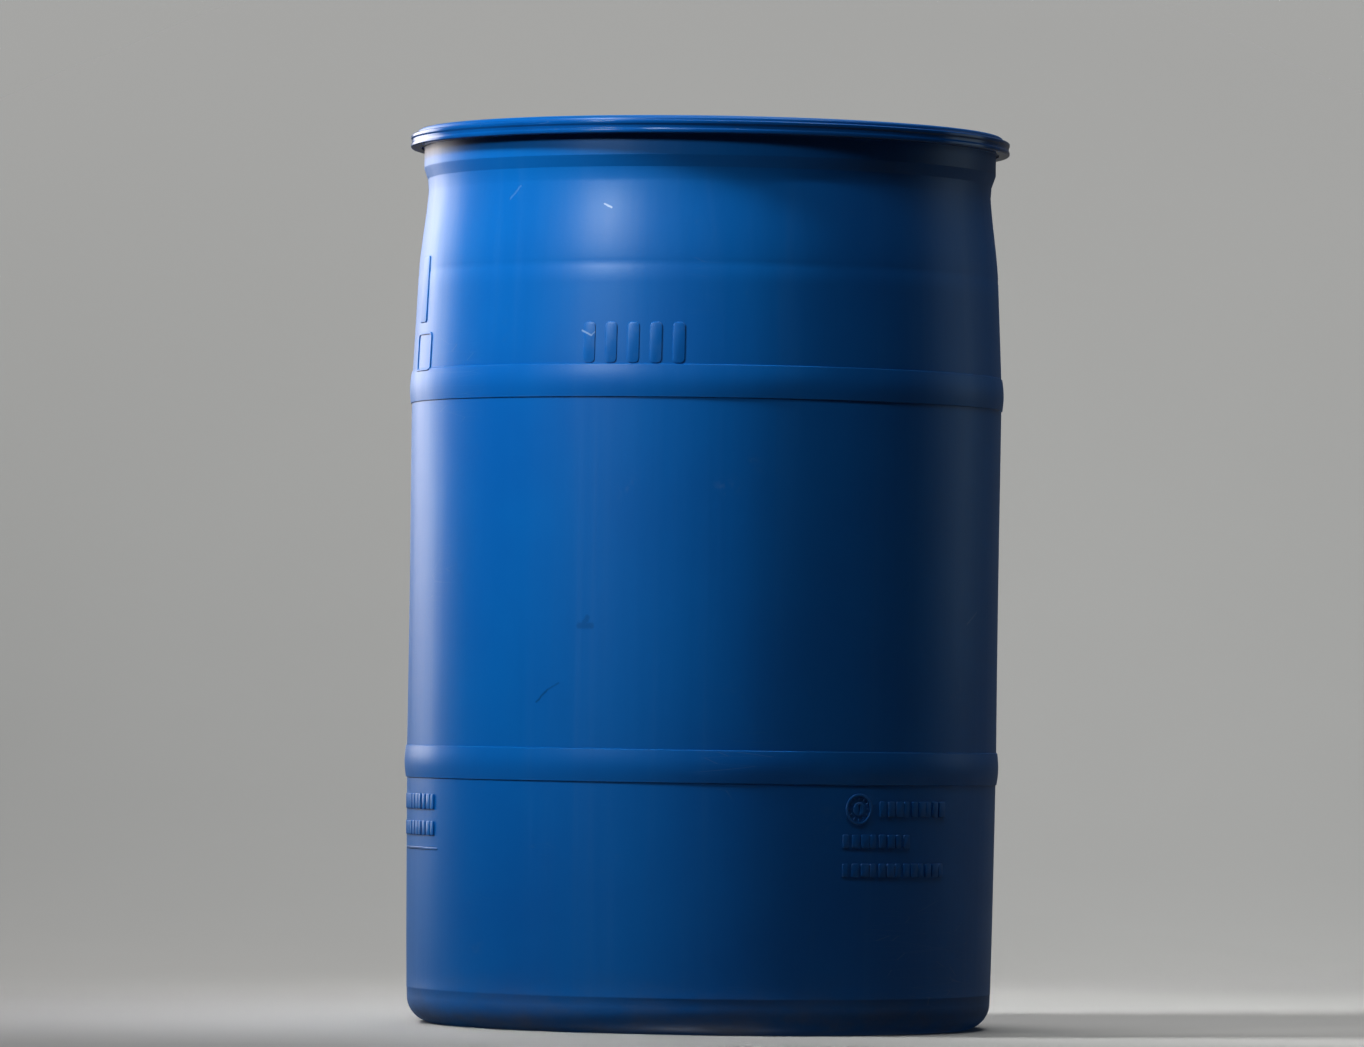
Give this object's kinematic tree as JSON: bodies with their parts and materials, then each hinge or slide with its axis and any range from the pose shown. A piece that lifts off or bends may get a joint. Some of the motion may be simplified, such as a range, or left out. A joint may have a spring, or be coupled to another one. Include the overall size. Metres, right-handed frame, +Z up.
{
  "type": "open head plastic drum",
  "caption": "Blue plastic open head drum with two rolling beads, a removable dished lid with bungs, and a lever-lock clamp ring.",
  "frame": {"origin": "centre of the base, on the floor", "axes": "+Z up along the drum's axis, -Y the front seen by the viewer, +Y the side with the closing lever, +X to the viewer's right"},
  "size_m": [0.595, 0.6117, 0.884],
  "materials": {
    "body_plastic": "blow-moulded polyethylene, satin",
    "lid_plastic": "injection-moulded polyethylene, satin",
    "ring_paint": "gloss painted steel band",
    "zinc_steel": "zinc-plated pressed steel",
    "pin_steel": "zinc-plated pins and rivets",
    "seal_rubber": "moulded elastomer seal",
    "bung_plastic": "moulded plug, low gloss"
  },
  "bodies": {
    "drum": {"drum_body": "body_plastic"},
    "lid": {"lid": "lid_plastic", "lid_gasket": "seal_rubber"},
    "large_bung_seal": {"large_bung_gasket": "seal_rubber"},
    "large_bung": {"large_bung": "bung_plastic"},
    "small_bung_seal": {"small_bung_gasket": "seal_rubber"},
    "small_bung": {"small_bung": "bung_plastic"},
    "ring_right": {"ring_band_right": "ring_paint", "lever_bracket": "zinc_steel", "lever_bracket_rivets": "pin_steel", "lever_pivot_pin": "pin_steel", "seal_staple": "zinc_steel"},
    "ring_left": {"ring_band_left": "ring_paint", "link_bracket": "zinc_steel", "link_bracket_rivets": "pin_steel", "link_anchor_pin": "pin_steel"},
    "lever": {"lever": "zinc_steel", "link_pivot_pin": "pin_steel"},
    "link": {"toggle_link": "zinc_steel"}
  },
  "joints": [
    {"name": "lid_lift", "type": "slide", "parent": "drum", "child": "lid", "axis": [0, 0, 1], "range_m": [0, 0.3]},
    {"name": "ring_lift", "type": "slide", "parent": "lid", "child": "ring_right", "axis": [0, 0, 1], "range_m": [0, 0.12], "deforming": ["ring_band_right"]},
    {"name": "lever_swing", "type": "hinge", "parent": "ring_right", "child": "lever", "pos_m": [0.018, 0.306, 0.87275], "axis": [0, 0, 1], "range_deg": [0, 150]},
    {"name": "link_swing", "type": "hinge", "parent": "lever", "child": "link", "pos_m": [0.03794, 0.3045, 0.87275], "axis": [0, 0, 1], "range_deg": [-140, 0]},
    {"name": "ring_spread", "type": "hinge", "parent": "ring_right", "child": "ring_left", "pos_m": [0, -0.2965, 0.87275], "axis": [0, 0, 1], "range_deg": [0, 4], "deforming": ["ring_band_left"]},
    {"name": "large_bung_rise", "type": "slide", "parent": "lid", "child": "large_bung_seal", "axis": [0, 0, 1], "range_m": [0, 0.01325]},
    {"name": "large_bung_turn", "type": "hinge", "parent": "large_bung_seal", "child": "large_bung", "pos_m": [-0.19, 0, 0.872], "axis": [0, 0, 1], "range_deg": [0, 2180]},
    {"name": "small_bung_rise", "type": "slide", "parent": "lid", "child": "small_bung_seal", "axis": [0, 0, 1], "range_m": [0, 0.01089]},
    {"name": "small_bung_turn", "type": "hinge", "parent": "small_bung_seal", "child": "small_bung", "pos_m": [0.19, 0, 0.87], "axis": [0, 0, 1], "range_deg": [0, 2180]}
  ],
  "couplings": [
    {"joint": "link_swing", "follows": "lever_swing", "ratio": -0.92196},
    {"joint": "ring_spread", "follows": "lever_swing", "ratio": 0.022037},
    {"joint": "large_bung_turn", "follows": "large_bung_rise", "rad_per_m": 2844.7},
    {"joint": "small_bung_turn", "follows": "small_bung_rise", "rad_per_m": 3463.2}
  ]
}
